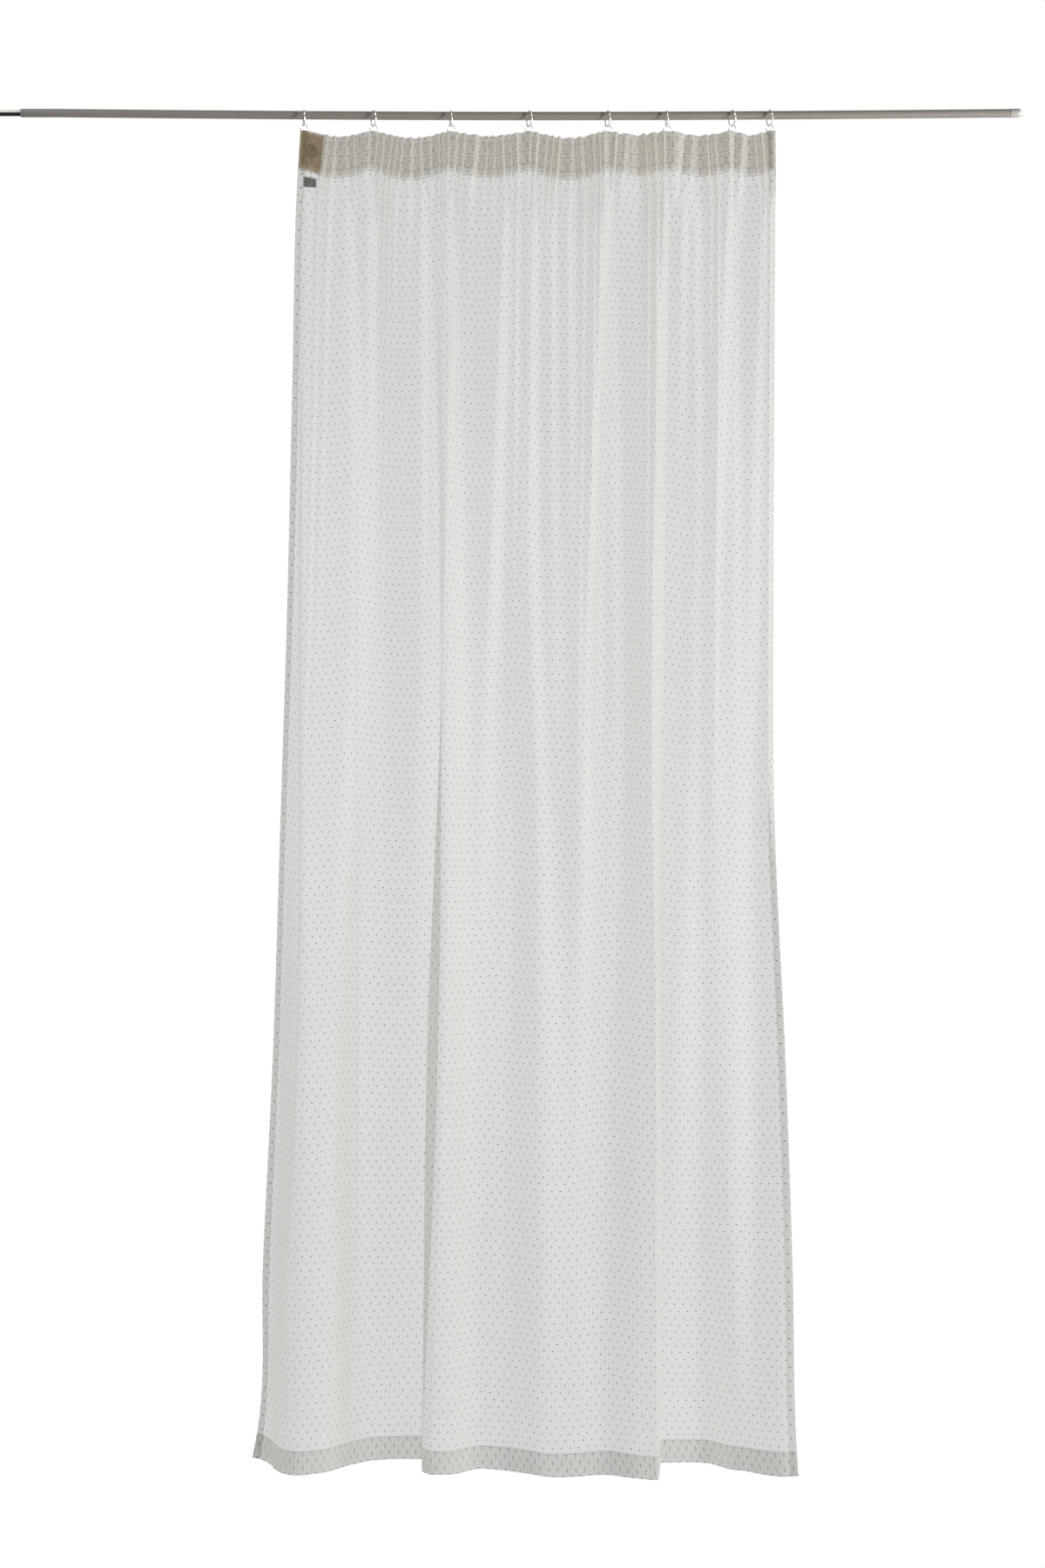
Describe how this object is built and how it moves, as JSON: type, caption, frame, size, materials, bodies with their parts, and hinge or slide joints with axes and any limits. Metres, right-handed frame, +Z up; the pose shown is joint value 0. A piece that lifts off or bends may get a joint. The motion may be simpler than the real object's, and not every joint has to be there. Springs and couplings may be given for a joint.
{
  "type": "sheer voile curtain with its rod and rings",
  "caption": "Dotted sheer voile curtain with a gathered tape heading and a plain bottom hem, hung by wire rings and hooks from a slim round rod.",
  "frame": {"origin": "centre of the flat left end of the rod, seen from the room", "axes": "+X along the rod to its right end, -Y into the room towards whoever looks at the curtain, +Z up"},
  "size_m": [1.925, 0.1365, 2.5411],
  "materials": {
    "voile": "sheer white voile with small woven dots",
    "tape": "woven beige gathering tape",
    "cord": "thin twisted cord",
    "label": "woven label, blank",
    "painted_steel": "satin grey paint",
    "dark_steel": "satin dark paint",
    "wire": "drawn nickelled wire"
  },
  "bodies": {
    "root": {"voile_panel": "voile", "heading_tape": "tape", "gathering_cord_coil": "cord", "sewn_label": "label", "rod_outer_tube": "painted_steel", "rod_inner_tube": "dark_steel", "rod_end_cap": "painted_steel", "ring_1": "wire", "ring_2": "wire", "ring_3": "wire", "ring_4": "wire", "ring_5": "wire", "ring_6": "wire", "ring_7": "wire", "ring_8": "wire", "eye_1": "wire", "eye_2": "wire", "eye_3": "wire", "eye_4": "wire", "eye_5": "wire", "eye_6": "wire", "eye_7": "wire", "eye_8": "wire", "hook_1": "wire", "hook_2": "wire", "hook_3": "wire", "hook_4": "wire", "hook_5": "wire", "hook_6": "wire", "hook_7": "wire", "hook_8": "wire"}
  },
  "joints": []
}
